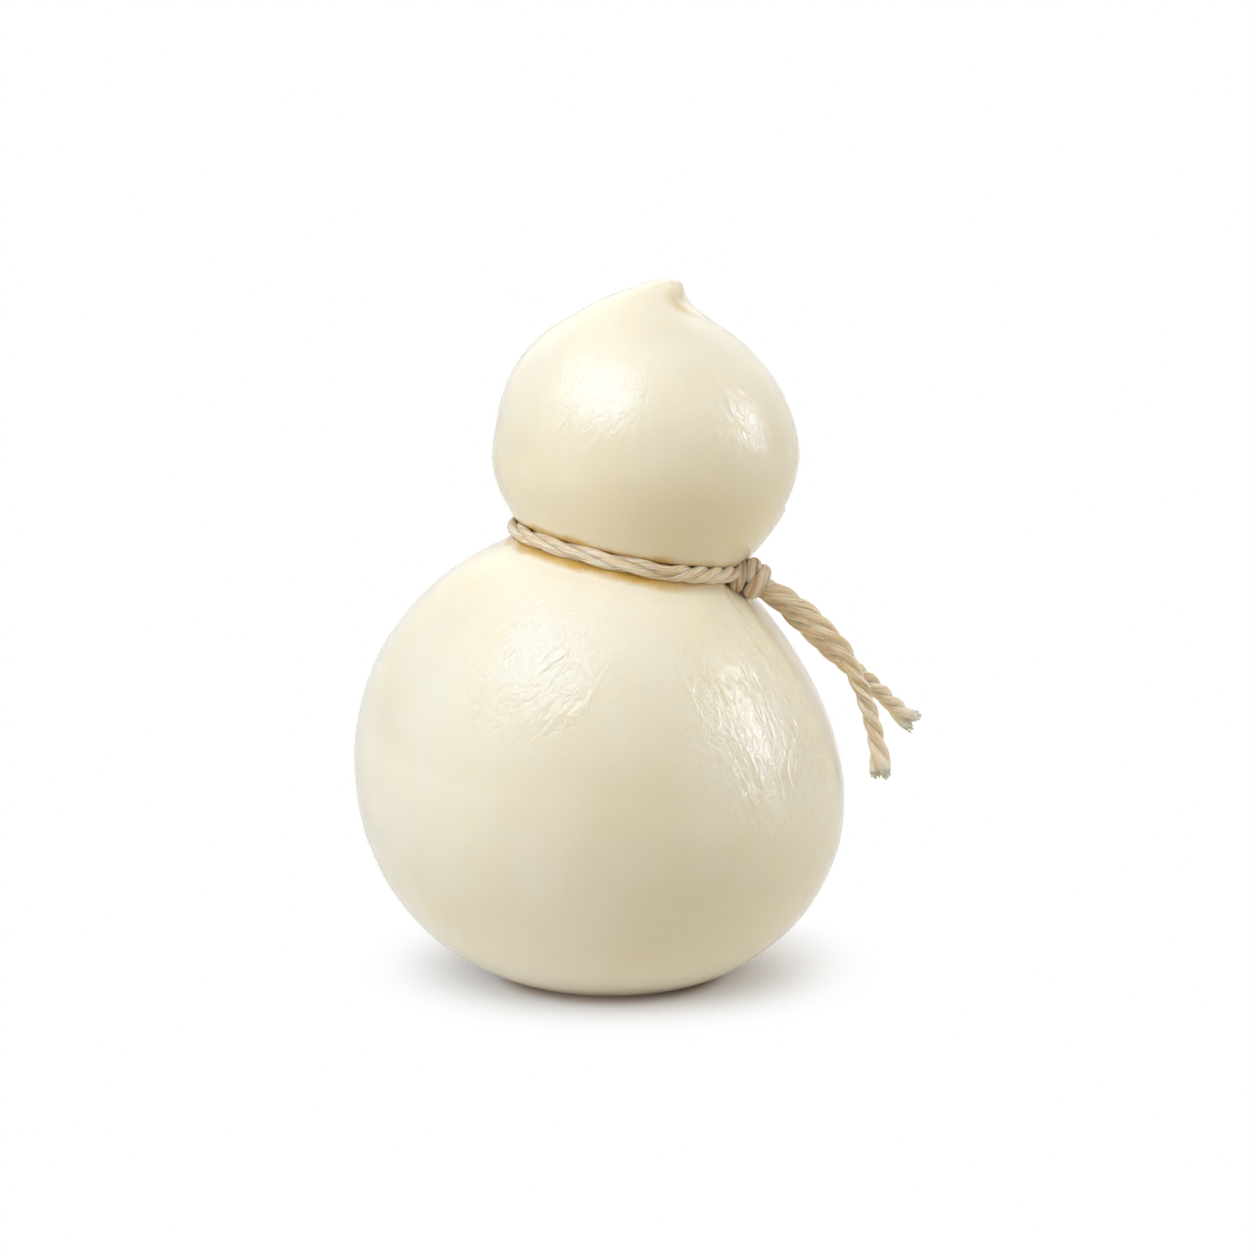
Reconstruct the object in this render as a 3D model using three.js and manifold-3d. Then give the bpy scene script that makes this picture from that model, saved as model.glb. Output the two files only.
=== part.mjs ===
import * as THREE from 'three';
import { mergeVertices } from 'three/addons/utils/BufferGeometryUtils.js';
import Module from 'manifold-3d';

// A whole scamorza: a round body and a smaller head, with twine tied round the neck between them.
// Millimetres, +Z up. The front looks towards -Y, and the small flat foot rests on z = 0.

const wasm = await Module();
wasm.setup();

// Driving dimensions of the cheese. Each lobe is widest at its middle height and closes one span below
// and above it. Root sets how full that curve is, and the two curves blend into each other at the middle.
const body = {
  radius: 37.7,
  middle: 30.2,
  blend: 16,
  below: { span: 32.5, root: 2.28 },
  above: { span: 38.6, root: 1.8 },
};
const head = {
  radius: 23.2,
  middle: 80.3,
  blend: 10,
  below: { span: 26.4, root: 1.06 },
  above: { span: 22.7, root: 1.9 },
};
const neckHeight = 65.4;

// The crown runs on straight as a cone from this height, and its pinched end bends over to the right.
const tip = { start: 99.2, slope: 1.57, top: 106.1, round: 1.0, bendStart: 101.5, bend: 3.8 };

// How far the middle of each level stands to the right of the belly's middle.
const footShift = 1.8;
const neckShift = 4.4;
const headShift = 7.4;

// The neck and the head lean over to the right.
const neckLean = THREE.MathUtils.degToRad(12);
const headLean = THREE.MathUtils.degToRad(5);
const leanSettled = 84;

// Hollows pressed into the cheese: a dent beside the tip and a pocket behind the knot.
const dent = { turn: THREE.MathUtils.degToRad(-24), spread: 0.6, height: 102.8, reach: 2.2, depth: 1.9 };
const pocket = { radius: 14.7, flare: 0.14, flareBelow: 0.2 };

// The body's and head's depth is a little uneven where the outline seen from the front isn't.
const unevenness = 0.014;
const wavesRound = 2;
const waveHeight = 9;

// Twine of three plies, tied once round the neck.
const twineDiameter = 2.7;
const twineRadius = twineDiameter / 2;
const plies = 3;
const plyValley = 0.26;
const clearance = 0.5;
const loopRadius = 17.5;
const longLay = 20;
const tightTurns = 3;
const tightFrom = 0.62;

// The twine climbs a little towards the knot, and the neck of the cheese with it.
const climb = { height: 0.7, turn: THREE.MathUtils.degToRad(58), reach: 6 };

// The knot stands at the front of the neck's right side, and points to the right and down.
const knotTurn = THREE.MathUtils.degToRad(-19);
const knotYaw = THREE.MathUtils.degToRad(3);
const knotDip = THREE.MathUtils.degToRad(5);
const knotReach = 17.5;
const knotLift = 0.2;
const wrap = { strand: 1.18, radius: 1.5 };
const wraps = [{ along: 0.15, lean: 0 }, { along: 3.15, lean: 0.45 }];
const bridge = { along: 1.75, strand: 1.1, radius: 1.9, from: 30, to: 250 };
const core = { radius: 1.3, start: 0, end: 3.6 };
const knotRadius = wrap.radius + wrap.strand;

// Where the two free ends of the twine run, from the knot to their cut ends.
const frontTail = [
  [25.4, -6.1, 60.5], [28.5, -6.2, 58.8], [31.6, -6.2, 56.5], [34.2, -6.3, 53.9], [36.5, -6.5, 51.2],
  [38.1, -6.7, 48], [39.7, -6.9, 44.4], [41, -7.1, 40.3], [41.8, -7.2, 36.9], [42.6, -7.3, 32.6],
];
const rearTail = [
  [24.6, -3.6, 59.5], [27.2, -3.3, 57.7], [29.2, -3, 55.7], [31.7, -2.4, 53.3], [34.4, -1.6, 50.6],
  [37.4, -0.5, 48], [40.2, 0.8, 45.8], [43, 2.5, 43], [45.5, 4.2, 40.4], [47.9, 6, 38],
];
const tailSides = 8;
const tailStep = 2 * twineDiameter;

// How finely the solids are divided.
const turnsAround = 64;
const lowerRings = 14;
const shoulderRings = 16;
const grooveRings = 9;
const chinRings = 8;
const crownRings = 16;
const loopSides = 12;
const loopStep = 1.3;
const wrapSides = 10;
const wrapSteps = 28;

const cheeseFinish = { color: 0xf3ead2, roughness: 0.35, metalness: 0 };
const twineFinish = { color: 0xc8ad84, roughness: 0.8, metalness: 0 };

function bell(distance, reach) {
  return Math.exp(-((distance / reach) ** 2));
}

// The angle between two turns, the short way round.
function turnGap(from, to) {
  return Math.abs(THREE.MathUtils.euclideanModulo(from - to + Math.PI, 2 * Math.PI) - Math.PI);
}

// A surface through rings of points that run counter-clockwise round their path, closed by a fan at each end.
function skin(rings) {
  const sides = rings[0].length;
  const sumOf = (ring) => ring.reduce((sum, point) => sum.add(point), new THREE.Vector3());
  const middleOf = (ring) => sumOf(ring).divideScalar(sides);
  const points = [...rings.flat(), middleOf(rings[0]), middleOf(rings.at(-1))];
  const first = rings.length * sides;
  const last = first + 1;
  const faces = [];
  for (let side = 0; side < sides; side += 1) {
    const next = (side + 1) % sides;
    faces.push(first, next, side);
    for (let ring = 0; ring < rings.length - 1; ring += 1) {
      const here = ring * sides;
      const above = here + sides;
      faces.push(here + side, here + next, above + next);
      faces.push(here + side, above + next, above + side);
    }
    faces.push(last, first - sides + side, first - sides + next);
  }
  const geometry = new THREE.BufferGeometry().setFromPoints(points);
  geometry.setIndex(faces);
  geometry.computeVertexNormals();
  return geometry;
}

function namedMesh(name, geometry, finish) {
  const mesh = new THREE.Mesh(geometry, new THREE.MeshStandardMaterial(finish));
  mesh.name = name;
  return mesh;
}

// A closed geometry as a solid that can be joined, and a solid as a geometry.
function solidOf(geometry) {
  const bare = geometry.clone();
  bare.deleteAttribute('normal');
  bare.deleteAttribute('uv');
  const merged = mergeVertices(bare);
  const vertProperties = new Float32Array(merged.attributes.position.array);
  const triVerts = new Uint32Array(merged.index.array);
  return new wasm.Manifold(new wasm.Mesh({ numProp: 3, vertProperties, triVerts }));
}

function geometryOf(solid) {
  const mesh = solid.getMesh();
  const geometry = new THREE.BufferGeometry();
  geometry.setAttribute('position', new THREE.BufferAttribute(mesh.vertProperties, 3));
  geometry.setIndex(new THREE.BufferAttribute(mesh.triVerts, 1));
  geometry.computeVertexNormals();
  return geometry;
}

function roundSection(radius, sides) {
  const corners = Array.from({ length: sides }, (_, side) => {
    const angle = (side / sides) * 2 * Math.PI;
    return new THREE.Vector2(radius * Math.cos(angle), radius * Math.sin(angle));
  });
  return new THREE.Shape(corners);
}

function tube(points, radius, sides, steps) {
  const extrudePath = new THREE.CatmullRomCurve3(points);
  return new THREE.ExtrudeGeometry(roundSection(radius, sides), { steps, extrudePath });
}

// Cheese
function lobeRadius(height, lobe) {
  const mix = THREE.MathUtils.smoothstep(height, lobe.middle - lobe.blend, lobe.middle + lobe.blend);
  const span = THREE.MathUtils.lerp(lobe.below.span, lobe.above.span, mix);
  const root = THREE.MathUtils.lerp(lobe.below.root, lobe.above.root, mix);
  const share = (height - lobe.middle) / span;
  return lobe.radius * (1 - share ** 2) ** (1 / root);
}

function tipRadius(height) {
  const cone = lobeRadius(tip.start, head) - tip.slope * (height - tip.start);
  const over = Math.max(0, (height - tip.top + tip.round) / tip.round);
  return cone * Math.sqrt(1 - over * over);
}

// The bare lobes meet under the twine, which presses a round groove of its own size plus a clearance.
function profileRadius(height) {
  const grooveRadius = twineRadius + clearance;
  const rise = (height - neckHeight) / Math.cos(neckLean);
  if (Math.abs(rise) < grooveRadius) {
    return loopRadius - Math.sqrt(grooveRadius ** 2 - rise ** 2);
  }
  if (height < neckHeight) {
    return lobeRadius(height, body);
  }
  return height < tip.start ? lobeRadius(height, head) : tipRadius(height);
}

// The body's middle line bends over like a beam loaded at the neck.
function shiftAt(height) {
  if (height < body.middle) {
    return footShift * (1 - height / body.middle) ** 2;
  }
  if (height < neckHeight) {
    const share = (height - body.middle) / (neckHeight - body.middle);
    return (neckShift * share * share * (3 - share)) / 2;
  }
  const settle = THREE.MathUtils.smoothstep(height, neckHeight, leanSettled);
  const bend = Math.max(0, (height - tip.bendStart) / (tip.top - tip.bendStart));
  return THREE.MathUtils.lerp(neckShift, headShift, settle) + tip.bend * bend * bend;
}

function leanAt(height) {
  if (height < neckHeight) {
    return neckLean * THREE.MathUtils.smoothstep(height, 0, neckHeight);
  }
  const settle = THREE.MathUtils.smoothstep(height, neckHeight, leanSettled);
  return THREE.MathUtils.lerp(neckLean, headLean, settle);
}

function cheeseRadius(height, turn) {
  const sideways = Math.sin(turn) ** 2;
  const wave = Math.sin(wavesRound * turn + height / waveHeight);
  const swollen = profileRadius(height) * (1 + unevenness * sideways * wave * bulge(height));
  const pinched = swollen - dent.depth * bell(turnGap(turn, dent.turn), dent.spread)
    * bell(height - dent.height, dent.reach);
  const aside = loopRadius * turnGap(turn, knotTurn);
  const rise = height - neckHeight;
  const riseFlare = rise < 0 ? pocket.flareBelow : pocket.flare;
  return Math.min(pinched, pocket.radius + pocket.flare * aside ** 2 + riseFlare * rise ** 2);
}

function climbAt(turn) {
  return climb.height * (1 - THREE.MathUtils.smoothstep(turnGap(turn, knotTurn), 0, climb.turn));
}

// The unevenness fades out at the foot, at the twine and at the tip.
function bulge(height) {
  const fromFoot = THREE.MathUtils.smoothstep(height, 0, body.middle);
  const fromNeck = THREE.MathUtils.smoothstep(Math.abs(height - neckHeight), twineDiameter, body.middle / 2);
  const fromTip = 1 - THREE.MathUtils.smoothstep(height, tip.start - head.radius / 2, tip.start);
  return fromFoot * fromNeck * fromTip;
}

// Heights from one level to another, closer together towards the far end as on a ball.
function levels(from, to, count) {
  return Array.from({ length: count }, (_, step) => {
    return from + (to - from) * Math.sin(((step + 1) / count) * Math.PI / 2);
  });
}

function ringHeights() {
  const halfGroove = (twineRadius + clearance) * Math.cos(neckLean);
  const lower = levels(body.middle, 0, lowerRings).reverse();
  const shoulder = levels(body.middle, neckHeight - halfGroove, shoulderRings);
  const groove = Array.from({ length: grooveRings }, (_, step) => {
    return neckHeight - halfGroove * Math.cos(((step + 1) / (grooveRings + 1)) * Math.PI);
  });
  const chin = levels(head.middle, neckHeight + halfGroove, chinRings).reverse();
  const crown = levels(head.middle, tip.top, crownRings).slice(0, -1);
  return [...lower, body.middle, ...shoulder, ...groove, ...chin, head.middle, ...crown];
}

function cheeseRing(height) {
  const lean = leanAt(height);
  const shift = shiftAt(height);
  return Array.from({ length: turnsAround }, (_, step) => {
    const turn = (step / turnsAround) * 2 * Math.PI;
    const radius = cheeseRadius(height, turn);
    const across = radius * Math.cos(turn);
    const depth = radius * Math.sin(turn);
    const level = height + climbAt(turn) * bell(height - neckHeight, climb.reach);
    return new THREE.Vector3(shift + across * Math.cos(lean), depth, level - across * Math.sin(lean));
  });
}

function makeCheese() {
  return namedMesh('cheese', skin(ringHeights().map(cheeseRing)), cheeseFinish);
}

// Twine round the neck, in the neck's own frame
function plyRadius(angle) {
  return twineRadius * (1 - plyValley * (1 - Math.abs(Math.cos((plies / 2) * angle))));
}

function makeNeckTwine() {
  const gap = Math.asin((knotRadius + 2 * clearance) / loopRadius);
  const sweep = 2 * (Math.PI - gap);
  const length = sweep * loopRadius;
  const steps = Math.round(length / loopStep);
  const up = new THREE.Vector3(0, 0, 1);
  const rings = Array.from({ length: steps + 1 }, (_, step) => {
    const share = step / steps;
    const turn = knotTurn + gap + share * sweep;
    const outward = new THREE.Vector3(Math.cos(turn), Math.sin(turn), 0);
    const twist = 2 * Math.PI * ((share * length) / longLay
      + tightTurns * THREE.MathUtils.smoothstep(share, tightFrom, 1));
    return Array.from({ length: loopSides }, (__, side) => {
      const angle = (side / loopSides) * 2 * Math.PI;
      const reach = plyRadius(angle - twist);
      return outward.clone().multiplyScalar(loopRadius + reach * Math.sin(angle))
        .addScaledVector(up, climbAt(turn) + reach * Math.cos(angle));
    });
  });
  return namedMesh('neck_twine', skin(rings), twineFinish);
}

// Knot, along its own X axis: two wraps round the core, and a strand that bridges them over the top
function makeKnot() {
  const rings = wraps.map(({ along, lean }) => {
    const ring = new THREE.TorusGeometry(wrap.radius, wrap.strand, wrapSides, wrapSteps);
    ring.rotateY(Math.PI / 2 + Math.atan2(lean, wrap.radius)).translate(along, 0, 0);
    return solidOf(ring);
  });
  const overTop = Array.from({ length: wrapSteps + 1 }, (_, step) => {
    const turn = THREE.MathUtils.degToRad(THREE.MathUtils.lerp(bridge.from, bridge.to, step / wrapSteps));
    return new THREE.Vector3(bridge.along, -bridge.radius * Math.cos(turn), bridge.radius * Math.sin(turn));
  });
  const corePoints = [new THREE.Vector3(core.start, 0, 0), new THREE.Vector3(core.end, 0, 0)];
  const strands = [
    ...rings,
    solidOf(tube(overTop, bridge.strand, wrapSides, wrapSteps)),
    solidOf(tube(corePoints, core.radius, wrapSides, 1)),
  ];
  const joined = strands.reduce((whole, strand) => whole.add(strand));
  return namedMesh('knot', geometryOf(joined), twineFinish);
}

// The two free ends
function makeTail(name, route) {
  const points = route.map((point) => new THREE.Vector3(...point));
  const steps = Math.round(new THREE.CatmullRomCurve3(points).getLength() / tailStep);
  return namedMesh(name, tube(points, twineRadius, tailSides, steps), twineFinish);
}

const neck = new THREE.Group();
neck.position.set(neckShift, 0, neckHeight);
neck.rotation.y = neckLean;

const knotSeat = new THREE.Group();
knotSeat.position.set(knotReach * Math.cos(knotTurn), knotReach * Math.sin(knotTurn), knotLift);
knotSeat.rotation.set(0, knotDip, knotYaw, 'ZYX');
knotSeat.add(makeKnot());
neck.add(makeNeckTwine(), knotSeat);

const scamorza = new THREE.Group();
scamorza.add(makeCheese(), neck, makeTail('tail_front', frontTail), makeTail('tail_rear', rearTail));

export default scamorza;
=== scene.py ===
import math
import random

import bpy
from mathutils import Matrix, Vector, noise
from mathutils.bvhtree import BVHTree


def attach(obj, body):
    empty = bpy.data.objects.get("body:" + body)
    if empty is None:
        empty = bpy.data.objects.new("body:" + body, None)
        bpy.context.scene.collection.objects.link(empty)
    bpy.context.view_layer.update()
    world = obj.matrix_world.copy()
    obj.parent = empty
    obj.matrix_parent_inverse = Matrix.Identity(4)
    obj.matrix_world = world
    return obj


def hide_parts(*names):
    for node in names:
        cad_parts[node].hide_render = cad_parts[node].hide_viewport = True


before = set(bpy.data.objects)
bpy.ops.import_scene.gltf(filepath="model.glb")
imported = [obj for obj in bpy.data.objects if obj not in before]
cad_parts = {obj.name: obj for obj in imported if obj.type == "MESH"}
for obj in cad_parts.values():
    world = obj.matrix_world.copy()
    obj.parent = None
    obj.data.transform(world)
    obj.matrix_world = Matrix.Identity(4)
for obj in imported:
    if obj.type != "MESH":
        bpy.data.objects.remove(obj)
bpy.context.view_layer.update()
mm = 0.001
scene = bpy.context.scene
print("frame loaded:", sorted(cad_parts))


# Small helpers
def inMetres(points):
    return [Vector(point) * mm for point in points]


def smoothStep(value, low, high):
    share = min(1, max(0, (value - low) / (high - low)))
    return share * share * (3 - 2 * share)


def mixed(first, second, share):
    return first + (second - first) * share


def selectOnly(piece):
    bpy.ops.object.select_all(action="DESELECT")
    piece.select_set(True)
    bpy.context.view_layer.objects.active = piece


def applyModifier(piece, kind, **settings):
    modifier = piece.modifiers.new(kind, kind)
    for name, value in settings.items():
        setattr(modifier, name, value)
    selectOnly(piece)
    bpy.ops.object.modifier_apply(modifier=modifier.name)


def handOver(piece, slot, *nodes):
    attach(piece, "root")
    if nodes:
        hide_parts(*nodes)


# Camera, as the photograph was taken
shot = {
    "lens": 85,                    # mm on a 36 mm sensor
    "distance": 450 * mm,
    "above": math.radians(9),      # how far it looks down
    "aim": (4.17 * mm, 0, 53.5 * mm),
}


def setCamera():
    above = shot["above"]
    away = Vector((0, -math.cos(above), math.sin(above))) * shot["distance"]
    place = Vector(shot["aim"]) + away
    bpy.ops.object.camera_add(location=place, rotation=(math.pi / 2 - above, 0, 0))
    camera = bpy.context.object
    camera.name = "photoCamera"
    camera.data.lens = shot["lens"]
    camera.data.clip_start = 10 * mm
    scene.camera = camera
    print("camera set")


# Twine: three plies laid round each other, each ply a bundle of fibres
twine = {
    "diameter": 2.7 * mm,
    "plies": 3,
    "plyRadius": 0.68 * mm,
    "plySpread": 0.66 * mm,        # from the twine's middle line to a ply's
    "sides": 28,                   # of a ply
    "step": 0.4 * mm,
    "ridges": 7,                   # fibre ridges round one ply
    "ridgeDepth": 0.045,           # share of the ply's radius
    "fibreTurn": 0.35,             # radians a mm that the fibres wind round their ply
    "uneven": (2, 0.12),           # how fine the unevenness is, round a ply and for each mm along it
    "sway": 2,                     # how far the unevenness pushes the ridges aside, in radians
    "apart": (9, 31),              # how far apart two strands' unevenness and colours are read
}


def smoothRoute(points, step):             # an even curve through the points
    ends = [2 * points[0] - points[1]] + list(points) + [2 * points[-1] - points[-2]]
    line = []
    for a, b, c, d in zip(ends, ends[1:], ends[2:], ends[3:]):
        count = max(1, round((c - b).length / step))
        for i in range(count):
            t = i / count
            bend = (2 * a - 5 * b + 4 * c - d) * t * t + (3 * b - a - 3 * c + d) * t ** 3
            line.append(b + ((c - a) * t + bend) / 2)
    return line + [points[-1]]


def lengthsAlong(line):
    lengths = [0]
    for here, there in zip(line, line[1:]):
        lengths.append(lengths[-1] + (there - here).length)
    return lengths


def carriedFrames(line, side):             # ahead, side and third vectors, carried without turning
    frames = []
    for i in range(len(line)):
        ahead = (line[min(i + 1, len(line) - 1)] - line[max(i - 1, 0)]).normalized()
        if frames:
            side = frames[-1][0].rotation_difference(ahead) @ frames[-1][1]
        side = (side - ahead * side.dot(ahead)).normalized()
        frames.append((ahead, side, ahead.cross(side)))
    return frames


def newBuild():
    return {"points": [], "faces": [], "strand": [], "cut": []}


def addStrand(build, line, girths, sides, ridges, depth, mark, cutLength=0):   # mark tells strands apart
    frames = carriedFrames(line, (line[1] - line[0]).orthogonal())
    lengths = lengthsAlong(line)
    first = len(build["points"])
    fineRound, fineAlong = twine["uneven"]
    unevenApart, colourApart = twine["apart"]
    for i, (middle, girth) in enumerate(zip(line, girths)):
        side, third = frames[i][1:]
        along = lengths[i] / mm
        drift = along * fineAlong + unevenApart * mark
        # painted light: share of the paler colour toward the cut end
        pale = smoothStep(lengths[i], lengths[-1] - cutLength, lengths[-1]) if cutLength else 0
        for k in range(sides):
            angle = 2 * math.pi * k / sides
            wound = angle + twine["fibreTurn"] * along + mark
            uneven = noise.noise((math.cos(wound) * fineRound, math.sin(wound) * fineRound, drift))
            ridge = (1 + math.cos(ridges * wound + twine["sway"] * uneven)) / 2
            relief = 1 - depth * ridge + depth * uneven
            out = side * math.cos(angle) + third * math.sin(angle)
            build["points"].append(middle + out * girth * relief)
            build["strand"].append((math.cos(wound), math.sin(wound), along + colourApart * mark))
            build["cut"].append(pale)
    for i in range(len(line) - 1):
        for k in range(sides):
            here = first + i * sides
            after = (k + 1) % sides
            build["faces"].append((here + k, here + after, here + sides + after, here + sides + k))
    last = first + (len(line) - 1) * sides
    build["faces"].append(tuple(first + k for k in reversed(range(sides))))
    build["faces"].append(tuple(last + k for k in range(sides)))


def meshOf(build, name):
    mesh = bpy.data.meshes.new(name)
    mesh.from_pydata(build["points"], [], build["faces"])
    strand = mesh.attributes.new("strand", "FLOAT_VECTOR", "POINT")
    strand.data.foreach_set("vector", [value for place in build["strand"] for value in place])
    mesh.attributes.new("cut", "FLOAT", "POINT").data.foreach_set("value", build["cut"])
    piece = bpy.data.objects.new(name, mesh)
    scene.collection.objects.link(piece)
    selectOnly(piece)
    bpy.ops.object.shade_smooth()
    return piece


def layPlies(build, line, side, twists, spreads, girths, cutLength=0):
    frames = carriedFrames(line, side)
    plyLines = []
    for ply in range(twine["plies"]):
        start = 2 * math.pi * ply / twine["plies"]
        plyLine = []
        for i, middle in enumerate(line):
            angle = start + twists[i]
            out = frames[i][1] * math.cos(angle) + frames[i][2] * math.sin(angle)
            plyLine.append(middle + out * spreads[i])
        addStrand(
            build, plyLine, girths, twine["sides"], twine["ridges"], twine["ridgeDepth"], ply + 1, cutLength
        )
        plyLines.append(plyLine)
    return plyLines


# The two free ends, along the solids' own routes
tails = {
    "lays": (13.5 * mm, 8.5 * mm),   # one whole turn of the plies, at the knot and at the cut end
    "flare": 5 * mm,               # length over which the cut end opens
    "flareSpread": 1.45,           # times the plies' own spread
    "flareGirth": 1.3,             # times the plies' own girth
    "untwist": 0.6,                # share of their twist that the plies lose there
    # painted light: over this length the twine grows paler toward its cut end
    "litEndReach": 10 * mm,
    "fibres": 20,                  # that stand out of the end of one ply
    "fibreRadius": 0.15 * mm,
    "fibreSides": 6,
    "seedTurn": math.radians(137.5),   # from one fibre to the next, as seeds in a sunflower
    "brush": 1.6 * mm,             # length of the fibres
    "jagged": 0.9 * mm,            # how far some reach past the others
    "bundle": 0.95,                # how wide they start, times the ply
    "splay": (0.1, 0.5),           # and how much wider they end
    "lean": 0.3,                   # share of the splay that leans away from the twine's middle
    "taper": 0.45,                 # share of their girth that is gone at the tip
    "front": {
        "route": inMetres([
            (25.4, -6.1, 60.5), (28.5, -6.2, 58.8), (31.6, -6.2, 56.5), (34.2, -6.3, 53.9),
            (36.5, -6.5, 51.2), (38.1, -6.7, 48), (39.7, -6.9, 44.4), (41, -7.1, 40.3),
            (41.8, -7.2, 36.9), (42.6, -7.3, 32.6),
        ]),
        "leadIn": inMetres([(22.9, -5.8, 61.4)]),
        "turn": 0.4,
        "seed": 3,
    },
    "rear": {
        "route": inMetres([
            (24.6, -3.6, 59.5), (27.2, -3.3, 57.7), (29.2, -3, 55.7), (31.7, -2.4, 53.3),
            (34.4, -1.6, 50.6), (37.4, -0.5, 48), (40.2, 0.8, 45.8), (43, 2.5, 43),
            (45.5, 4.2, 40.4), (47.9, 6, 38),
        ]),
        "leadIn": inMetres([(22.8, -4.6, 60.8)]),
        "turn": 1.5,
        "seed": 8,
    },
}


def addBrush(build, line, plyLine, draw):
    lengths = lengthsAlong(plyLine)
    start = next(i for i, length in enumerate(lengths) if lengths[-1] - length < tails["brush"])
    stretch = plyLine[start:]
    axis = line[start:]
    frames = carriedFrames(stretch, (stretch[1] - stretch[0]).orthogonal())
    for k in range(tails["fibres"]):
        angle = k * tails["seedTurn"]
        reach = math.sqrt((k + 0.5) / tails["fibres"]) * twine["plyRadius"]
        splay = draw.uniform(*tails["splay"])
        fibreLine = []
        for i, middle in enumerate(stretch):
            share = i / (len(stretch) - 1)
            out = frames[i][1] * math.cos(angle) + frames[i][2] * math.sin(angle)
            away = (middle - axis[i]) * splay * share ** 3 * tails["lean"]
            fibreLine.append(middle + out * reach * (tails["bundle"] + splay * share * share) + away)
        over = frames[-1][0] * draw.uniform(0, 1) * tails["jagged"]
        fibreLine[-1] = fibreLine[-1] + over
        shares = [(i / len(stretch)) ** 4 for i in range(len(stretch))]
        girths = [tails["fibreRadius"] * (1 - tails["taper"] * share) for share in shares]
        addStrand(build, fibreLine, girths, tails["fibreSides"], 1, 0, k + 2, tails["brush"])


def makeTail(name, node, tail):
    points = tail["leadIn"] + tail["route"]
    line = smoothRoute(points, twine["step"])
    lengths = lengthsAlong(line)
    whole = lengths[-1]
    twists, spreads, girths = [], [], []
    twist = tail["turn"]
    for before, length in zip([0] + lengths, lengths):
        opened = smoothStep(length, whole - tails["flare"], whole)
        lay = mixed(*tails["lays"], length / whole)
        twist -= 2 * math.pi * (length - before) * (1 - opened * tails["untwist"]) / lay
        twists.append(twist)
        spreads.append(twine["plySpread"] * mixed(1, tails["flareSpread"], opened))
        girths.append(twine["plyRadius"] * mixed(1, tails["flareGirth"], opened))
    build = newBuild()
    plyLines = layPlies(build, line, Vector((0, 0, 1)), twists, spreads, girths, tails["litEndReach"])
    draw = random.Random(tail["seed"])
    for plyLine in plyLines:
        addBrush(build, line, plyLine, draw)
    piece = meshOf(build, name)
    handOver(piece, "twine", node)
    print(name, "made,", round(whole / mm, 1), "mm long")
    return piece


# Twine round the neck, in the neck's own frame
neck = {
    "place": (4.4 * mm, 0, 65.4 * mm),
    "lean": math.radians(12),
    "radius": 17.5 * mm,
    "knotTurn": math.radians(-19),
    "gap": math.radians(3),        # on each side of the knot's middle
    "climb": 0.7 * mm,             # how much higher the twine lies at the knot
    "climbTurn": math.radians(58),
    "lays": [                      # share of the way round, and mm for one whole turn of the plies
        (0, -12), (0.45, -12), (0.52, 22), (0.84, 22), (0.88, -10), (1, -10),
    ],
    "turn": 0.6,
}
neckFrame = Matrix.Translation(neck["place"]) @ Matrix.Rotation(neck["lean"], 4, "Y")


def climbAt(turn):
    gap = abs((turn - neck["knotTurn"] + math.pi) % (2 * math.pi) - math.pi)
    return neck["climb"] * (1 - smoothStep(gap, 0, neck["climbTurn"]))


def turnsAt(share):                        # turns a mm, between the lays set above
    stops = neck["lays"]
    for (low, before), (high, after) in zip(stops, stops[1:]):
        if share <= high:
            return mixed(1 / before, 1 / after, smoothStep(share, low, high))
    return 1 / stops[-1][1]


def onLoop(turn):
    return Vector((math.cos(turn) * neck["radius"], math.sin(turn) * neck["radius"], climbAt(turn)))


def makeNeckTwine():
    sweep = 2 * (math.pi - neck["gap"])
    whole = sweep * neck["radius"]
    count = round(whole / twine["step"])
    line, twists = [], []
    twist = neck["turn"]
    for i in range(count + 1):
        share = i / count
        turn = neck["knotTurn"] + neck["gap"] + share * sweep
        line.append(neckFrame @ onLoop(turn))
        twists.append(twist)
        twist += 2 * math.pi * turnsAt(share) * whole / count / mm
    spreads = [twine["plySpread"]] * len(line)
    girths = [twine["plyRadius"]] * len(line)
    up = neckFrame.to_3x3() @ Vector((0, 0, 1))
    build = newBuild()
    layPlies(build, line, up, twists, spreads, girths)
    piece = meshOf(build, "neckTwine")
    handOver(piece, "twine", "neck_twine")
    print("neck twine made")
    return piece


# Knot, along its own X axis: front at turn 0, top at a quarter turn
knot = {
    "reach": 17.5 * mm,
    "lift": 0.2 * mm,
    "yaw": math.radians(3),
    "dip": math.radians(5),
    "sides": 40,
    "ridges": 13,
    "ridgeDepth": 0.03,
    "step": math.radians(5),
    "tuckRadius": 0.5,             # mm, where a strand's end goes under
    "firstMark": 5,
    "wraps": [                     # lengths in mm, turns in degrees
        {"along": 0.15, "lean": 0, "radius": 1.5, "strand": 1.18, "from": -190, "to": 190, "tuck": 40},
        {"along": 3.15, "lean": 0.45, "radius": 1.6, "strand": 1.28, "from": -190, "to": 190, "tuck": 40},
        {"along": 1.75, "lean": 0.2, "radius": 2.3, "strand": 1.15, "from": 20, "to": 250, "tuck": 50},
    ],
}


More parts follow.
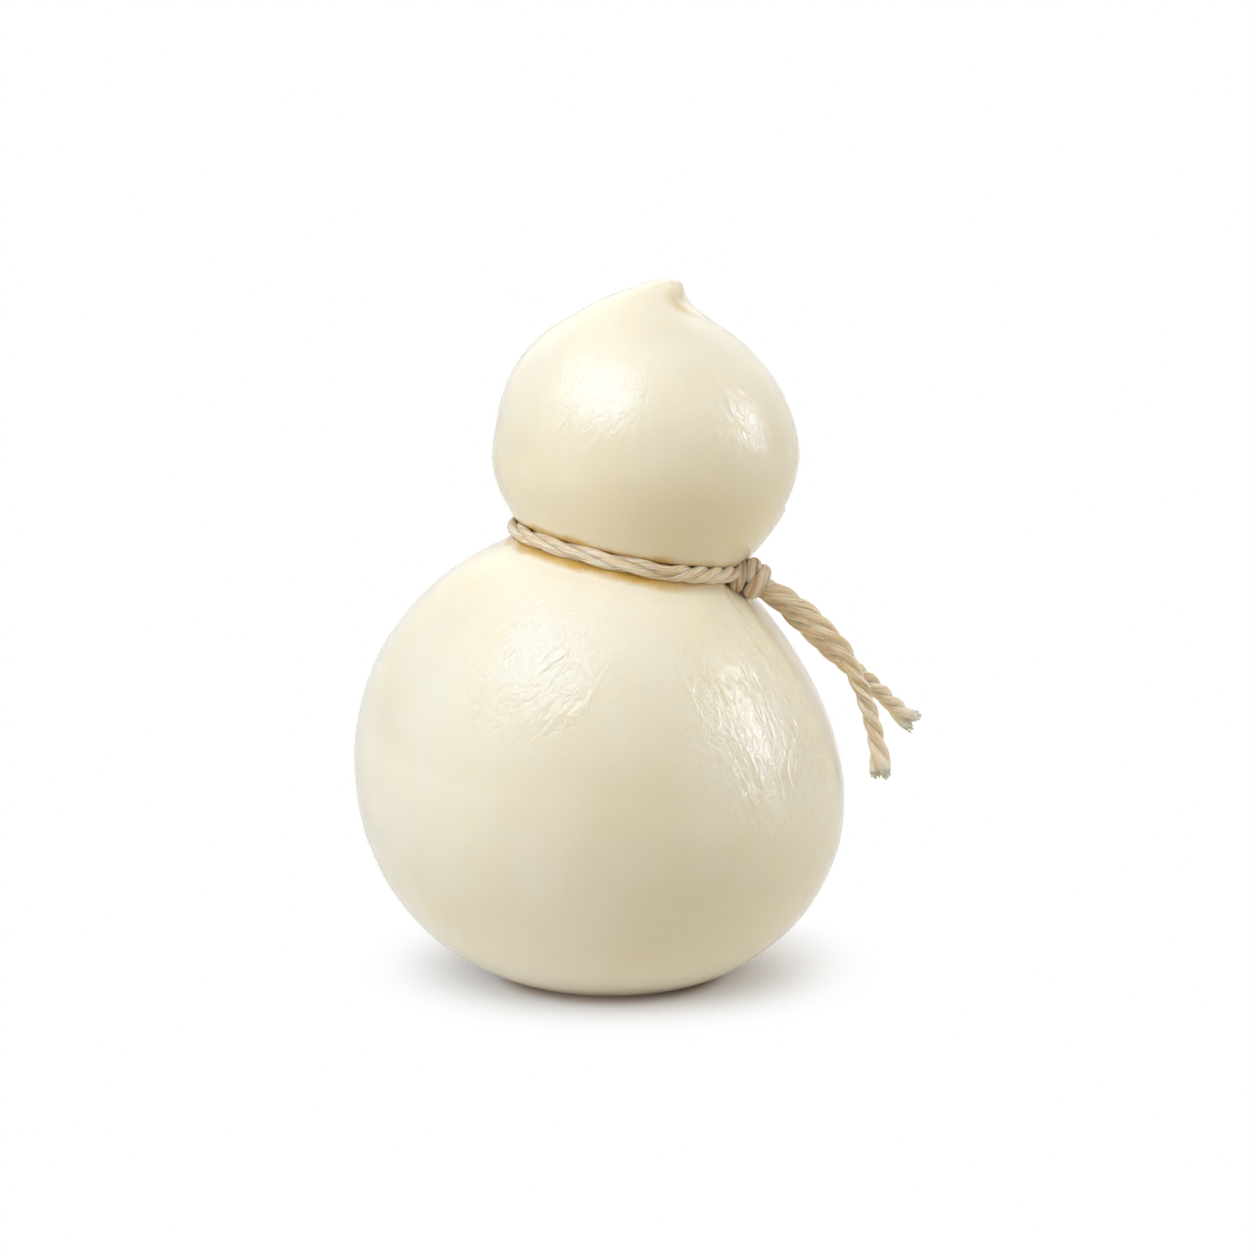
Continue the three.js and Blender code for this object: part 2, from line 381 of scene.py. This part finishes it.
def makeKnot():
    across, depth = (knot["reach"] * ratio(neck["knotTurn"]) for ratio in (math.cos, math.sin))
    knotFrame = (
        neckFrame @ Matrix.Translation((across, depth, knot["lift"]))
        @ Matrix.Rotation(knot["yaw"], 4, "Z") @ Matrix.Rotation(knot["dip"], 4, "Y")
    )
    build = newBuild()
    for mark, wrap in enumerate(knot["wraps"], knot["firstMark"]):
        first, last, tuck = (math.radians(wrap[key]) for key in ("from", "to", "tuck"))
        count = round((last - first) / knot["step"])
        line = []
        for i in range(count + 1):
            turn = mixed(first, last, i / count)
            tucked = smoothStep(min(turn - first, last - turn), 0, tuck)
            radius = mixed(knot["tuckRadius"], wrap["radius"], tucked)
            along = wrap["along"] + wrap["lean"] * math.sin(turn)
            place = Vector((along, -radius * math.cos(turn), radius * math.sin(turn))) * mm
            line.append(knotFrame @ place)
        girths = [wrap["strand"] * mm] * len(line)
        addStrand(build, line, girths, knot["sides"], knot["ridges"], knot["ridgeDepth"], mark)
    piece = meshOf(build, "knotWraps")
    handOver(piece, "twine", "knot")
    print("knot made")
    return piece


# Cheese, from the solid's own shape
cheese = {
    "mergeWithin": 0.01 * mm,
    "joinWithin": math.radians(60),        # of the triangles that become squares
    "divisions": 2,
    "lump": 17 * mm,                       # size of the skin's broad and small unevenness
    "lumpHeight": 0.5 * mm,
    "ripple": 4 * mm,
    "rippleHeight": 0.06 * mm,
    "footFade": (0.5 * mm, 8 * mm),        # no unevenness on the foot and beside the twine
    "twineFade": (2 * mm, 7 * mm),
    "swell": 0.6 * mm,                     # how far the curd swells up to the twine
    "swellFade": (2.1 * mm, 3.6 * mm),
    "fillWithin": math.radians(36),        # the curd swells round the knot as it does beside it
    "fillAs": (math.radians(-60), math.radians(22)),   # the two places beside it
    "fillFrom": (1.2 * mm, 2.4 * mm),      # above and below the twine
    "fillTo": 11 * mm,
    "castFrom": 60 * mm,
    "ridge": inMetres([(10.2, -2.4, 106), (11.1, -7.7, 101.2)]),
    "foldDepth": 0.28 * mm,                # how far the skin sinks right of the ridge
    "foldInward": Vector((-0.6, 0.6, -0.5)),
    "foldWidth": (0.9 * mm, 4 * mm),
    "foldEnd": 1.5 * mm,
}


def fromNeckTwine(place):                  # from the nearest point of the twine's middle line
    local = neckFrame.inverted() @ place
    return local - onLoop(math.atan2(local.y, local.x))


def radiusAt(tree, turn, height):          # of the cheese, from the neck's axis
    outward = Vector((math.cos(turn), math.sin(turn), 0))
    start = neckFrame @ (outward * cheese["castFrom"] + Vector((0, 0, height)))
    hit = tree.ray_cast(start, neckFrame.to_3x3() @ -outward)[0]
    return (neckFrame.inverted() @ hit).to_2d().length


def fillHollow(piece):                     # moves the skin round the knot out
    tree = BVHTree.FromObject(piece, bpy.context.evaluated_depsgraph_get())
    for vertex in piece.data.vertices:
        local = neckFrame.inverted() @ vertex.co
        turn = math.atan2(local.y, local.x)
        if abs(turn - neck["knotTurn"]) > cheese["fillWithin"] or abs(local.z) > cheese["fillTo"]:
            continue
        radii = [radiusAt(tree, beside, local.z) for beside in cheese["fillAs"]]
        whole = sum(radii) / len(radii)
        short = max(0, whole - local.to_2d().length) * smoothStep(abs(local.z), *cheese["fillFrom"])
        vertex.co += neckFrame.to_3x3() @ Vector((math.cos(turn), math.sin(turn), 0)) * short


def tipFold(place):                        # inward, right of a ridge that runs down from the tip
    top, foot = cheese["ridge"]
    along = (foot - top).normalized()
    fromTop = place - top
    run = fromTop.dot(along)
    across = (fromTop - along * run).x
    length = (foot - top).length
    end = cheese["foldEnd"]
    near, far = cheese["foldWidth"]
    share = smoothStep(run, -end, end) * (1 - smoothStep(run, length - end, length + end))
    share *= smoothStep(across, 0, near) * (1 - smoothStep(across, near, far))
    return cheese["foldInward"] * cheese["foldDepth"] * share


def displace(piece, name, size, height):
    texture = bpy.data.textures.new(name, "CLOUDS")
    texture.noise_scale = size
    texture.noise_depth = 2
    applyModifier(
        piece, "DISPLACE", texture=texture, texture_coords="LOCAL", strength=height,
        mid_level=0.5, vertex_group="free",
    )


def makeCheese():
    piece = bpy.data.objects.new("cheeseBody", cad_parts["cheese"].data.copy())
    scene.collection.objects.link(piece)
    selectOnly(piece)
    piece.data.materials.clear()
    bpy.ops.object.mode_set(mode="EDIT")
    bpy.ops.mesh.select_all(action="SELECT")
    bpy.ops.mesh.customdata_custom_splitnormals_clear()
    bpy.ops.mesh.remove_doubles(threshold=cheese["mergeWithin"])
    within = cheese["joinWithin"]
    bpy.ops.mesh.tris_convert_to_quads(face_threshold=within, shape_threshold=within)
    bpy.ops.object.mode_set(mode="OBJECT")
    levels = cheese["divisions"]
    applyModifier(piece, "SUBSURF", levels=levels, render_levels=levels)
    free = piece.vertex_groups.new(name="free")
    for vertex in piece.data.vertices:
        near = fromNeckTwine(vertex.co).length
        weight = smoothStep(vertex.co.z, *cheese["footFade"]) * smoothStep(near, *cheese["twineFade"])
        free.add([vertex.index], weight, "REPLACE")
    displace(piece, "lumps", cheese["lump"], cheese["lumpHeight"])
    displace(piece, "ripples", cheese["ripple"], cheese["rippleHeight"])
    fillHollow(piece)
    nearness = piece.data.attributes.new("twineNear", "FLOAT", "POINT")
    rise = piece.data.attributes.new("twineRise", "FLOAT", "POINT")
    for vertex in piece.data.vertices:
        vertex.co += tipFold(vertex.co)
        away = fromNeckTwine(vertex.co)
        swell = cheese["swell"] * (1 - smoothStep(away.length, *cheese["swellFade"]))
        vertex.co -= neckFrame.to_3x3() @ away.normalized() * swell
        nearness.data[vertex.index].value = (away.length - swell) / mm
        rise.data[vertex.index].value = away.z / mm
    selectOnly(piece)
    bpy.ops.object.shade_smooth()
    handOver(piece, "cheese", "cheese")
    print("cheese made:", len(piece.data.polygons), "faces")
    return piece


# Drops of whey along the twine's lower edge, at the front
whey = {
    "count": 13,
    "turns": (math.radians(-123), math.radians(-28)),
    "outward": 0.8 * mm,                   # from the twine's middle line
    "downward": 2.1 * mm,
    "radius": (0.09 * mm, 0.16 * mm),
    "divisions": 3,
    "flat": 0.8,
    "scatter": (0.1, 0.9),                 # of the space that one drop has
    "seed": 5,
}


def makeWhey(skin):
    tree = BVHTree.FromObject(skin, bpy.context.evaluated_depsgraph_get())
    draw = random.Random(whey["seed"])
    bpy.ops.object.select_all(action="DESELECT")
    parts = []
    for i in range(whey["count"]):
        turn = mixed(*whey["turns"], (i + draw.uniform(*whey["scatter"])) / whey["count"])
        outward = Vector((math.cos(turn), math.sin(turn), 0)) * whey["outward"]
        near = neckFrame @ (onLoop(turn) + outward - Vector((0, 0, whey["downward"])))
        bpy.ops.mesh.primitive_ico_sphere_add(
            subdivisions=whey["divisions"], radius=draw.uniform(*whey["radius"]),
            location=tree.find_nearest(near)[0], scale=(1, 1, whey["flat"]),
        )
        parts.append(bpy.context.object)
    for part in parts:
        part.select_set(True)
    bpy.ops.object.join()
    bpy.ops.object.transform_apply(location=True, rotation=True, scale=True)
    bpy.ops.object.shade_smooth()
    piece = bpy.context.object
    piece.name = "wheyDrops"
    handOver(piece, "cheese")
    print("whey drops made:", whey["count"])
    return piece


# Materials
class Wire:                                # a socket that takes part in sums
    def __init__(self, tree, socket=None):
        self.tree = tree
        self.socket = socket

    def plug(self, target, value):
        if isinstance(value, Wire):
            self.tree.links.new(value.socket, target)
        else:
            target.default_value = value

    def node(self, kind, settings, sockets, output=0):
        made = self.tree.nodes.new(kind)
        for name, value in settings.items():
            setattr(made, name, value)
        for name, value in sockets.items():
            self.plug(made.inputs[name], value)
        return Wire(self.tree, made.outputs[output])

    def sum(self, operation, first, second):
        return self.node("ShaderNodeMath", {"operation": operation}, {0: first, 1: second})

    def __add__(self, other):
        return self.sum("ADD", self, other)

    def __sub__(self, other):
        return self.sum("SUBTRACT", self, other)

    def __mul__(self, other):
        return self.sum("MULTIPLY", self, other)

    def __radd__(self, other):
        return self.sum("ADD", other, self)

    def __rsub__(self, other):
        return self.sum("SUBTRACT", other, self)

    def __rmul__(self, other):
        return self.sum("MULTIPLY", other, self)

    def distance(self, first, second):
        return self.node("ShaderNodeVectorMath", {"operation": "DISTANCE"}, {0: first, 1: second}, "Value")

    def ramped(self, low, high, start=0.0, end=1.0):
        settings = {"interpolation_type": "SMOOTHSTEP"}
        sockets = {"Value": self, "From Min": low, "From Max": high, "To Min": start, "To Max": end}
        return self.node("ShaderNodeMapRange", settings, sockets)

    def blend(self, first, second, share):     # colours
        return self.node("ShaderNodeMix", {"data_type": "RGBA"}, {0: share, 6: first, 7: second}, 2)

    def blendTo(self, other, share):
        return self.blend(self, other, share)


def newMaterial(name):
    material = bpy.data.materials.new(name)
    material.use_nodes = True
    shader = material.node_tree.nodes["Principled BSDF"]
    return material, shader, Wire(material.node_tree)


def linear(red, green, blue):              # from a colour as a screen shows it, 0 to 255
    def channel(value):
        share = value / 255
        return share / 12.92 if share < 0.04045 else ((share + 0.055) / 1.055) ** 2.4
    return (channel(red), channel(green), channel(blue), 1)


curd = {
    "ivory": linear(250, 245, 229),
    "straw": linear(247, 239, 214),
    "cloudSize": 45,                   # clouds of ivory and straw, a metre
    "cloudEdge": (0.35, 0.7),
    "honeyShade": linear(238, 222, 184),    # painted shade: a broad, darker honey tint on the head's underside above the twine
    "honeyShadeWidth": (24, 6),             # mm from the twine's middle line
    "honeyShadeRise": (-1, 2),              # mm above the twine
    "honeyShadeShare": 0.5,
    "gold": linear(228, 186, 100),     # dried whey beside the twine, and painted warm shade in the crease along it
    "goldSpread": (18 * mm, 6 * mm),   # thinner toward the knot
    "goldLeast": 0.4,                  # what is left of it there
    "goldWidth": (3.3, 1.8),           # mm from the twine's middle line, where the gold starts and is full
    "goldRise": (-0.5, 1.5),           # mm above the twine
    "goldAbove": 0.6,                  # mm narrower above the twine
    "seepSize": 200,                   # unevenness of the gold's edge, a metre, and its reach in mm
    "seepReach": 2.4,
    "drop": linear(252, 240, 212),
    "dropRoughness": 0.07,
    "amberShade": linear(230, 208, 160),    # painted shade in the fold beside the tip
    "fold": (12.2 * mm, -3.9 * mm, 102.6 * mm),
    "foldShadeReach": (3.6 * mm, 0.2 * mm),
    "patchSize": 90,                   # drier and wetter patches, a metre
    "patchEdge": (0.3, 0.7),
    "patchRoughness": (0.12, 0.07),
    "wetCoat": 0.7,
    "coatRoughness": 0.1,
    "glow": 1,                         # subsurface weight
    "glowDepth": 2.5 * mm,
    "glowColours": (1.0, 0.72, 0.38),
    "groove": 0.04,                    # depth in mm, then grooves a metre, their stretch and their bends
    "grooveSize": 650,
    "grooveLength": 1.6,
    "grooveBend": 0.9,
    "grooveWidth": 0.1,
    "wave": 0.22,
    "waveSize": 700,
    "waveLength": 1.6,
    "waveBend": 0.3,
    "scratch": 0.1,
    "scratchSize": 420,
    "scratchLength": 7,
    "scratchBend": 0.2,
    "scratchEdge": (0.6, 0.68),
    "leftLean": math.radians(35),      # the wrinkles' lean from upright, on the front and on the right
    "rightLean": math.radians(-19),
    "rightFrom": (6 * mm, 15 * mm),
    "creased": [                       # middle and reach of the wrinkled patches, in mm
        ((0.4, -19.4, 90.9), 13), ((20.5, -17.7, 86.3), 9),
        ((-8.5, -29.9, 52.5), 16), ((22.5, -24.4, 43.5), 22),
    ],
    "creasedCore": 0.4,                # share of the reach inside which a patch is fully wrinkled
    "plain": 0.06,                     # share of the wrinkles that is left outside the patches
    "behind": (8 * mm, 24 * mm),       # and from here on there is more at the back
    "behindShare": 0.8,
}


def leaningNoise(wire, place, lean, kind):
    turned = wire.node(
        "ShaderNodeMapping", {"vector_type": "TEXTURE"},
        {"Vector": place, "Rotation": (0, lean, 0), "Scale": (1, 1, curd[kind + "Length"])},
    )
    bend = curd[kind + "Bend"]
    sockets = {"Vector": turned, "Scale": curd[kind + "Size"], "Detail": 1, "Distortion": bend}
    return wire.node("ShaderNodeTexNoise", {}, sockets, "Fac")


def wrinkles(wire, place, lean):           # mm: flat flakes between narrow grooves, waves and lone scratches
    fromGroove = wire.sum("ABSOLUTE", leaningNoise(wire, place, lean, "groove") - 0.5, 0)
    flakes = fromGroove.ramped(0, curd["grooveWidth"])
    waves = leaningNoise(wire, place, lean, "wave")
    scratches = leaningNoise(wire, place, lean, "scratch").ramped(*curd["scratchEdge"])
    return flakes * curd["groove"] + waves * curd["wave"] + scratches * curd["scratch"]


def patchyNoise(wire, place, size, detail):
    return wire.node("ShaderNodeTexNoise", {}, {"Vector": place, "Scale": size, "Detail": detail}, "Fac")


def curdColour(wire, place, wheyAndShade, near, rise):
    cloudy = patchyNoise(wire, place, curd["cloudSize"], 3).ramped(*curd["cloudEdge"])
    fold = wire.distance(place, curd["fold"])
    colour = wire.blend(curd["ivory"], curd["straw"], cloudy)
    # painted shade: a darker honey tint on the head's underside, above the twine
    honeyShade = near.ramped(*curd["honeyShadeWidth"]) * rise.ramped(*curd["honeyShadeRise"]) * curd["honeyShadeShare"]
    colour = colour.blendTo(curd["honeyShade"], honeyShade)
    # painted shade, amber, in the fold beside the tip
    colour = colour.blendTo(curd["amberShade"], fold.ramped(*curd["foldShadeReach"]))
    # dried whey and painted warm shade in the crease beside the twine
    return colour.blendTo(curd["gold"], wheyAndShade)


def creasedness(wire, place):
    depth = wire.node("ShaderNodeSeparateXYZ", {}, {"Vector": place}, "Y")
    total = depth.ramped(*curd["behind"], curd["plain"], curd["behindShare"])
    for middle, reach in curd["creased"]:
        away = wire.distance(place, Vector(middle) * mm)
        near = away.ramped(reach * mm, reach * mm * curd["creasedCore"])
        total = total + near * (1 - curd["plain"])
    return total


def curdHeight(wire, place):
    across = wire.node("ShaderNodeSeparateXYZ", {}, {"Vector": place}, "X")
    rightward = across.ramped(*curd["rightFrom"])
    leftCrease = wrinkles(wire, place, curd["leftLean"])
    rightCrease = wrinkles(wire, place, curd["rightLean"])
    return (leftCrease * (1 - rightward) + rightCrease * rightward) * creasedness(wire, place)


def curdMaterial():
    material, shader, wire = newMaterial("ivoryCurd")
    place = wire.node("ShaderNodeTexCoord", {}, {}, "Object")
    near = wire.node("ShaderNodeAttribute", {"attribute_name": "twineNear"}, {}, "Fac")
    rise = wire.node("ShaderNodeAttribute", {"attribute_name": "twineRise"}, {}, "Fac")
    seep = patchyNoise(wire, place, curd["seepSize"], 3)
    patch = patchyNoise(wire, place, curd["patchSize"], 2)
    narrowed = rise.ramped(*curd["goldRise"], 0, curd["goldAbove"])
    across = wire.node("ShaderNodeSeparateXYZ", {}, {"Vector": place}, "X")
    # the gold mask: dried whey, and painted warm shade in the crease beside the twine
    wheyAndShade = (near + (seep - 0.5) * curd["seepReach"] + narrowed).ramped(*curd["goldWidth"])
    wheyAndShade = wheyAndShade * across.ramped(*curd["goldSpread"], curd["goldLeast"], 1)
    height = curdHeight(wire, place)
    bump = wire.node("ShaderNodeBump", {}, {"Height": height, "Distance": 1 * mm, "Strength": 1})
    roughness = patch.ramped(*curd["patchEdge"], *curd["patchRoughness"])
    wire.plug(shader.inputs["Base Color"], curdColour(wire, place, wheyAndShade, near, rise))
    wire.plug(shader.inputs["Roughness"], roughness)
    wire.plug(shader.inputs["Coat Weight"], wheyAndShade * curd["wetCoat"])
    wire.plug(shader.inputs["Normal"], bump)
    shader.inputs["Coat Roughness"].default_value = curd["coatRoughness"]
    shader.subsurface_method = "BURLEY"
    shader.inputs["Subsurface Weight"].default_value = curd["glow"]
    shader.inputs["Subsurface Scale"].default_value = curd["glowDepth"]
    shader.inputs["Subsurface Radius"].default_value = curd["glowColours"]
    return material


def wheyMaterial():
    material, shader = newMaterial("clearWhey")[:2]
    shader.inputs["Base Color"].default_value = curd["drop"]
    shader.inputs["Roughness"].default_value = curd["dropRoughness"]
    shader.inputs["Coat Weight"].default_value = 1
    return material


fibre = {
    "streak": 0.08 * mm,               # depth of the streaks
    "fine": (6, 6, 0.3),               # streaks and broad tones, across and along a strand
    "broad": (1.6, 1.6, 0.16),
    "toneEdge": (0.35, 0.65),
    "brownEdge": (0.48, 0.34),
    "roughEdge": (0.3, 0.7),
    "cut": linear(255, 240, 220),      # painted light: paler toward the cut ends, where the fibres are lit through
    "glow": 0.6,                       # subsurface weight
    "glowDepth": 0.6 * mm,
    "glowColours": (1.0, 0.65, 0.35),
    "sheen": 0.3,
    "shades": {
        "waxedTwine": {
            "pale": linear(252, 242, 223), "tan": linear(236, 212, 176), "brown": linear(146, 104, 62),
            "brownShare": 0.7, "roughness": (0.55, 0.35),
        },
        # painted shade: the knot's twine is a darker copy of the neck twine
        "shadedKnotTwine": {
            "pale": linear(254, 244, 228), "tan": linear(206, 170, 126), "brown": linear(112, 74, 40),
            "brownShare": 0.75, "roughness": (0.28, 0.16),
        },
    },
}


def twineMaterial(name):
    material, shader, wire = newMaterial(name)
    shades = fibre["shades"][name]
    strand = wire.node("ShaderNodeAttribute", {"attribute_name": "strand"}, {}, "Vector")
    cut = wire.node("ShaderNodeAttribute", {"attribute_name": "cut"}, {}, "Fac")
    fine = wire.node("ShaderNodeMapping", {}, {"Vector": strand, "Scale": fibre["fine"]})
    broad = wire.node("ShaderNodeMapping", {}, {"Vector": strand, "Scale": fibre["broad"]})
    streaks = patchyNoise(wire, fine, 1, 4)
    tone = patchyNoise(wire, broad, 1, 2)
    colour = wire.blend(shades["tan"], shades["pale"], tone.ramped(*fibre["toneEdge"]))
    colour = colour.blendTo(shades["brown"], streaks.ramped(*fibre["brownEdge"]) * shades["brownShare"])
    # painted light: paler toward the cut ends
    colour = colour.blendTo(fibre["cut"], cut)
    bump = wire.node("ShaderNodeBump", {}, {"Height": streaks, "Distance": fibre["streak"], "Strength": 1})
    wire.plug(shader.inputs["Base Color"], colour)
    wire.plug(shader.inputs["Roughness"], streaks.ramped(*fibre["roughEdge"], *shades["roughness"]))
    wire.plug(shader.inputs["Normal"], bump)
    shader.inputs["Sheen Weight"].default_value = fibre["sheen"]
    shader.inputs["Subsurface Weight"].default_value = fibre["glow"]
    shader.inputs["Subsurface Scale"].default_value = fibre["glowDepth"]
    shader.inputs["Subsurface Radius"].default_value = fibre["glowColours"]
    return material


# Studio: a white floor that runs into white, and soft boxes round the cheese
studio = {
    "floorSize": 4,
    "floorCells": 8,
    "floorMiddle": (2.9 * mm, 3.5 * mm, 0),
    "floorFade": (0.0155, 0.041),      # the floor turns to plain white between these distances from it
    "floorColour": (0.86, 0.855, 0.895, 1),
    "contactShadowMiddle": (1.5 * mm, -3.5 * mm, 0),
    "contactShadowFade": (0.0135, 0.0185),   # and has a painted warm shadow from the cheese nearer than this
    "contactShadowColour": (0.44, 0.28, 0.13, 1),
    "bounce": 0.69,                    # what the far floor sends back
    "bounceColour": (1, 0.92, 0.725, 1),
    "white": (1, 1, 1, 1),
    "mirrored": 0.82,                  # how bright the white surroundings look in the gloss
    "mirroredFrom": (0.3, 0.9),        # from behind alone
    "boxDistance": 0.5,
    "boxes": {                         # glow is the brightness of the box's face
        "overBox": {
            "toward": (-0.1, -0.47, 0.88), "size": (0.4, 0.4), "glow": 4.1, "colour": (1, 0.98, 0.93),
        },
        "leftBox": {
            "toward": (-0.95, -0.25, 0.08), "size": (0.35, 0.35), "glow": 3.85, "colour": (0.8, 0.875, 1),
        },
        "rightBox": {
            "toward": (0.95, 0.15, 0.2), "size": (0.3, 0.4), "glow": 2.85, "colour": (1, 0.97, 0.93),
        },
        "backBox": {
            "toward": (0.05, 0.8, 0.6), "size": (0.4, 0.4), "glow": 2.4, "colour": (1, 0.98, 0.93),
        },
        "frontBox": {
            "toward": (0, -0.98, 0.15), "size": (0.3, 0.3), "glow": 0.32, "colour": (1, 0.98, 0.93),
        },
    },
    "panels": {                        # seen only in the gloss, brightest in the middle
        "keyPanel": {                  # core is the share of its width that is evenly bright
            "toward": (-0.36, -0.55, 0.75), "distance": 0.125, "size": (0.11, 0.11),
            "core": 0.7, "glow": 2.7, "colour": (0.55, 0.85, 1.5, 1),
        },
        "sheenPanel": {
            "toward": (-0.3, -0.36, 0.88), "distance": 0.27, "size": (0.8, 0.8),
            "core": 0, "glow": 1.8, "colour": (1, 1, 1, 1),
        },
        "sidePanel": {
            "toward": (0.93, 0.05, 0.35), "distance": 1, "size": (0.6, 1),
            "core": 0.15, "glow": 6.3, "colour": (0.9, 1, 1.25, 1),
        },
        "topPanel": {
            "toward": (-0.2, 0.66, 0.72), "distance": 0.35, "size": (0.5, 0.5),
            "core": 0, "glow": 0.8, "colour": (1, 1, 1, 1),
        },
    },
}


def newStageMaterial(piece):
    material = bpy.data.materials.new(piece.name)
    material.use_nodes = True
    material.node_tree.nodes.remove(material.node_tree.nodes["Principled BSDF"])
    piece.data.materials.append(material)
    return Wire(material.node_tree), material.node_tree.nodes["Material Output"].inputs["Surface"]


def makeFloor():
    cells = studio["floorCells"]
    bpy.ops.mesh.primitive_grid_add(x_subdivisions=cells, y_subdivisions=cells, size=studio["floorSize"])
    floor = bpy.context.object
    floor.name = "paleFloor"
    wire, surface = newStageMaterial(floor)
    place = wire.node("ShaderNodeTexCoord", {}, {}, "Object")
    far = wire.distance(place, studio["floorMiddle"]).ramped(*studio["floorFade"])
    # painted warm shadow on the floor round the cheese's foot
    clear = wire.distance(place, studio["contactShadowMiddle"]).ramped(*studio["contactShadowFade"])
    seen = wire.node("ShaderNodeLightPath", {}, {}, "Is Camera Ray")
    shine = wire.node("ShaderNodeLightPath", {}, {}, "Is Glossy Ray")
    shadowTint = wire.blend(studio["contactShadowColour"], studio["floorColour"], clear)
    matt = wire.node("ShaderNodeBsdfDiffuse", {}, {"Color": shadowTint})
    bare = wire.node("ShaderNodeBsdfDiffuse", {}, {"Color": (0, 0, 0, 1)})
    lit = wire.node("ShaderNodeMixShader", {}, {0: far, 1: matt, 2: bare})
    shown = (seen + shine * studio["mirrored"]) * far
    white = wire.node("ShaderNodeEmission", {}, {"Color": studio["white"], "Strength": shown})
    sent = (1 - seen) * (1 - shine) * far * studio["bounce"]
    bounce = wire.node("ShaderNodeEmission", {}, {"Color": studio["bounceColour"], "Strength": sent})
    glow = wire.node("ShaderNodeAddShader", {}, {0: white, 1: bounce})
    wire.plug(surface, wire.node("ShaderNodeAddShader", {}, {0: lit, 1: glow}))


def makeWorld():
    world = bpy.data.worlds.new("whiteStudio")
    scene.world = world
    world.use_nodes = True
    wire = Wire(world.node_tree)
    way = wire.node("ShaderNodeTexCoord", {}, {}, "Generated")
    depth = wire.node("ShaderNodeSeparateXYZ", {}, {"Vector": way}, "Y")
    seen = wire.node("ShaderNodeLightPath", {}, {}, "Is Camera Ray")
    shine = wire.node("ShaderNodeLightPath", {}, {}, "Is Glossy Ray")
    background = world.node_tree.nodes["Background"]
    background.inputs["Color"].default_value = studio["white"]
    mirrored = shine * depth.ramped(*studio["mirroredFrom"]) * studio["mirrored"]
    wire.plug(background.inputs["Strength"], mirrored + seen)


def placedToward(toward, distance):
    toward = Vector(toward).normalized()
    return {
        "location": Vector(shot["aim"]) + toward * distance,
        "rotation": toward.to_track_quat("Z", "Y").to_euler(),
    }


def hangBoxes():
    for name, box in studio["boxes"].items():
        bpy.ops.object.light_add(type="AREA", **placedToward(box["toward"], studio["boxDistance"]))
        lamp = bpy.context.object
        lamp.name = name
        lamp.visible_camera = False
        lamp.visible_glossy = False
        lamp.data.shape = "RECTANGLE"
        lamp.data.size, lamp.data.size_y = box["size"]
        lamp.data.energy = box["glow"] * math.pi * box["size"][0] * box["size"][1]   # in watts
        lamp.data.color = box["colour"]


def hangPanels():
    for name, panel in studio["panels"].items():
        bpy.ops.mesh.primitive_plane_add(size=1, **placedToward(panel["toward"], panel["distance"]))
        sheet = bpy.context.object
        sheet.name = name
        sheet.scale = (*panel["size"], 1)
        wire, surface = newStageMaterial(sheet)
        place = wire.node("ShaderNodeTexCoord", {}, {}, "UV")
        fromMiddle = wire.distance(place, (0.5, 0.5, 0))
        strength = fromMiddle.ramped(0.5, panel["core"] / 2) * panel["glow"]
        light = wire.node("ShaderNodeEmission", {}, {"Color": panel["colour"], "Strength": strength})
        clear = wire.node("ShaderNodeBsdfTransparent", {}, {})
        wire.plug(surface, wire.node("ShaderNodeAddShader", {}, {0: clear, 1: light}))
        sheet.visible_camera = False
        sheet.visible_diffuse = False
        sheet.visible_shadow = False


def lightStudio():
    makeFloor()
    makeWorld()
    hangBoxes()
    hangPanels()
    scene.view_settings.view_transform = "Standard"
    print("studio lit")


setCamera()
frontTail = makeTail("tailFront", "tail_front", tails["front"])
rearTail = makeTail("tailRear", "tail_rear", tails["rear"])
neckTwine = makeNeckTwine()
knotWraps = makeKnot()
cheeseBody = makeCheese()
wheyDrops = makeWhey(cheeseBody)
waxed = twineMaterial("waxedTwine")
for part in (frontTail, rearTail, neckTwine):
    part.data.materials.append(waxed)
knotWraps.data.materials.append(twineMaterial("shadedKnotTwine"))
cheeseBody.data.materials.append(curdMaterial())
wheyDrops.data.materials.append(wheyMaterial())
print("materials made")
lightStudio()
